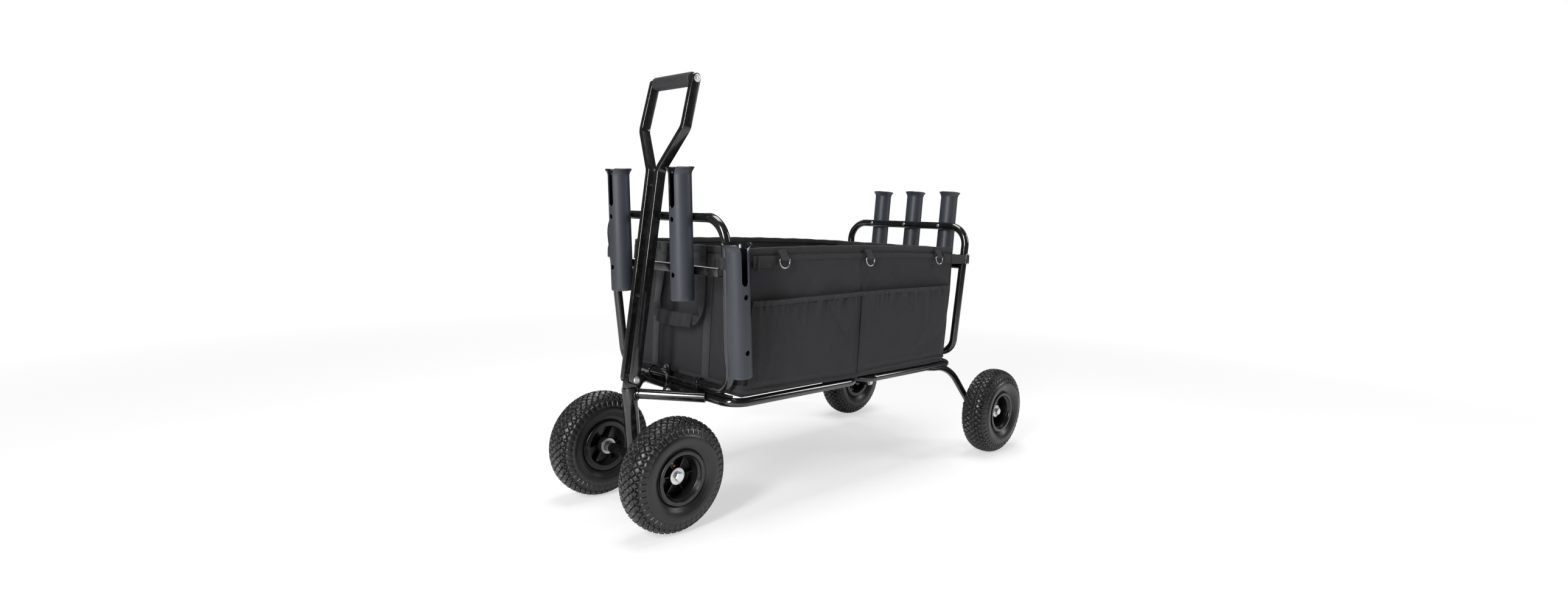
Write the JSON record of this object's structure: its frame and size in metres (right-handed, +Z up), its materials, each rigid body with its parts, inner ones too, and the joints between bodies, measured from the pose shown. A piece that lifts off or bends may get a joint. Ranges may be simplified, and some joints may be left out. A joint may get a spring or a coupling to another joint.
{
  "type": "fishing trolley",
  "caption": "Folding fishing trolley: tube frame, steered front axle with tall pull handle, pneumatic wheels, fabric cargo bag, tubular rod holders and an elastic cargo net.",
  "frame": {"origin": "on the ground, midway between the two axles, in the middle of the width", "axes": "+X towards the rear (the handle is at -X), +Y towards the far side, +Z up"},
  "size_m": [1.394, 0.666, 1.0259],
  "materials": {
    "frame_paint": "gloss black powder coat",
    "zinc_hardware": "bright zinc plated",
    "tyre_rubber": "matt black treaded rubber",
    "inner_tube_butyl": "matt black butyl",
    "rim_plastic": "satin black moulded",
    "holder_plastic": "matt charcoal",
    "grip_rubber": "matt dark grey foam rubber",
    "bag_fabric": "coated charcoal woven polyester",
    "elastic_cord": "braided black elastic"
  },
  "bodies": {
    "chassis": {"steering_yoke": "frame_paint", "front_base_frame": "frame_paint", "base_hinge_pin_near": "zinc_hardware", "base_hinge_pin_far": "zinc_hardware", "bag_front_half": "bag_fabric", "floor_board_front": "bag_fabric"},
    "rear_base": {"rear_base_frame": "frame_paint", "rear_leg_near": "frame_paint", "rear_leg_far": "frame_paint", "rear_near_axle_bolt": "zinc_hardware", "rear_far_axle_bolt": "zinc_hardware", "bag_rear_half": "bag_fabric", "floor_board_rear": "bag_fabric"},
    "front_frame": {"front_end_frame": "frame_paint", "front_cross_bar": "frame_paint", "rod_holder_front_near": "holder_plastic", "rod_holder_front_far": "holder_plastic", "rod_holder_corner": "holder_plastic"},
    "rear_frame": {"rear_end_frame": "frame_paint", "rear_cross_bar": "frame_paint", "rod_holder_rear_near": "holder_plastic", "rod_holder_rear_middle": "holder_plastic", "rod_holder_rear_far": "holder_plastic", "rear_holder_screw_near": "zinc_hardware", "rear_holder_screw_middle": "zinc_hardware", "rear_holder_screw_far": "zinc_hardware"},
    "front_latch_lever": {"front_latch": "frame_paint"},
    "rear_latch_lever": {"rear_latch": "frame_paint"},
    "steering": {"steering_stem": "frame_paint", "front_axle": "frame_paint", "front_near_axle_bolt": "zinc_hardware", "front_far_axle_bolt": "zinc_hardware"},
    "handle": {"handle_leg_near": "frame_paint", "handle_leg_far": "frame_paint", "handle_grip": "grip_rubber", "handle_grip_bolt": "zinc_hardware", "handle_pivot_bolt": "zinc_hardware"},
    "front_near_wheel": {"front_near_tyre": "tyre_rubber", "front_near_inner_tube": "inner_tube_butyl", "front_near_rim": "rim_plastic"},
    "front_far_wheel": {"front_far_tyre": "tyre_rubber", "front_far_inner_tube": "inner_tube_butyl", "front_far_rim": "rim_plastic"},
    "rear_near_wheel": {"rear_near_tyre": "tyre_rubber", "rear_near_inner_tube": "inner_tube_butyl", "rear_near_rim": "rim_plastic"},
    "rear_far_wheel": {"rear_far_tyre": "tyre_rubber", "rear_far_inner_tube": "inner_tube_butyl", "rear_far_rim": "rim_plastic"},
    "front_rings": {"lashing_ring_front_near": "zinc_hardware", "lashing_ring_front_far": "zinc_hardware"},
    "rear_rings": {"lashing_ring_middle_near": "zinc_hardware", "lashing_ring_middle_far": "zinc_hardware", "lashing_ring_rear_near": "zinc_hardware", "lashing_ring_rear_far": "zinc_hardware"},
    "net": {"cargo_net": "elastic_cord", "net_hook_front_near": "zinc_hardware", "net_hook_rear_near": "zinc_hardware", "net_hook_front_far": "zinc_hardware", "net_hook_rear_far": "zinc_hardware"}
  },
  "joints": [
    {"name": "base_fold", "type": "hinge", "parent": "chassis", "child": "rear_base", "pos_m": [0.0015, 0, 0.262], "axis": [0, 1, 0], "range_deg": [0, 110], "deforming": ["bag_front_half", "bag_rear_half"]},
    {"name": "front_frame_fold", "type": "hinge", "parent": "chassis", "child": "front_frame", "pos_m": [-0.457, 0, 0.312], "axis": [0, 1, 0], "range_deg": [0, 55]},
    {"name": "rear_frame_fold", "type": "hinge", "parent": "rear_base", "child": "rear_frame", "pos_m": [0.442, 0, 0.312], "axis": [0, -1, 0], "range_deg": [0, 55]},
    {"name": "front_ring_drop", "type": "slide", "parent": "chassis", "child": "front_rings", "axis": [0, 0, -1], "range_m": [0, 0.24]},
    {"name": "rear_ring_drop", "type": "slide", "parent": "rear_base", "child": "rear_rings", "axis": [0, 0, -1], "range_m": [0, 0.24]},
    {"name": "steer", "type": "hinge", "parent": "chassis", "child": "steering", "pos_m": [-0.567, 0, 0.13], "axis": [-0.1045, 0, 0.9945], "range_deg": [-25, 25]},
    {"name": "handle_tilt", "type": "hinge", "parent": "steering", "child": "handle", "pos_m": [-0.58218, 0, 0.322], "axis": [0, -1, 0], "range_deg": [0, 110]},
    {"name": "front_latch_turn", "type": "hinge", "parent": "front_frame", "child": "front_latch_lever", "pos_m": [-0.485, 0, 0.334], "axis": [0, 1, 0], "range_deg": [0, 70]},
    {"name": "rear_latch_turn", "type": "hinge", "parent": "rear_frame", "child": "rear_latch_lever", "pos_m": [0.47, 0, 0.334], "axis": [0, -1, 0], "range_deg": [0, 70]},
    {"name": "front_near_wheel_spin", "type": "hinge", "parent": "steering", "child": "front_near_wheel", "pos_m": [-0.567, -0.152, 0.13], "axis": [0, 1, 0], "continuous": true},
    {"name": "front_far_wheel_spin", "type": "hinge", "parent": "steering", "child": "front_far_wheel", "pos_m": [-0.567, 0.152, 0.13], "axis": [0, 1, 0], "continuous": true},
    {"name": "rear_near_wheel_spin", "type": "hinge", "parent": "rear_base", "child": "rear_near_wheel", "pos_m": [0.567, -0.29, 0.13], "axis": [0, 1, 0], "continuous": true},
    {"name": "rear_far_wheel_spin", "type": "hinge", "parent": "rear_base", "child": "rear_far_wheel", "pos_m": [0.567, 0.29, 0.13], "axis": [0, 1, 0], "continuous": true},
    {"name": "net_lift", "type": "slide", "parent": "chassis", "child": "net", "axis": [0, 0, 1], "range_m": [0, 0.05]}
  ],
  "couplings": [
    {"joint": "front_frame_fold", "follows": "base_fold", "ratio": 0.5},
    {"joint": "rear_frame_fold", "follows": "base_fold", "ratio": 0.5},
    {"joint": "front_ring_drop", "follows": "base_fold", "m_per_rad": 0.125},
    {"joint": "rear_ring_drop", "follows": "base_fold", "m_per_rad": 0.125}
  ]
}
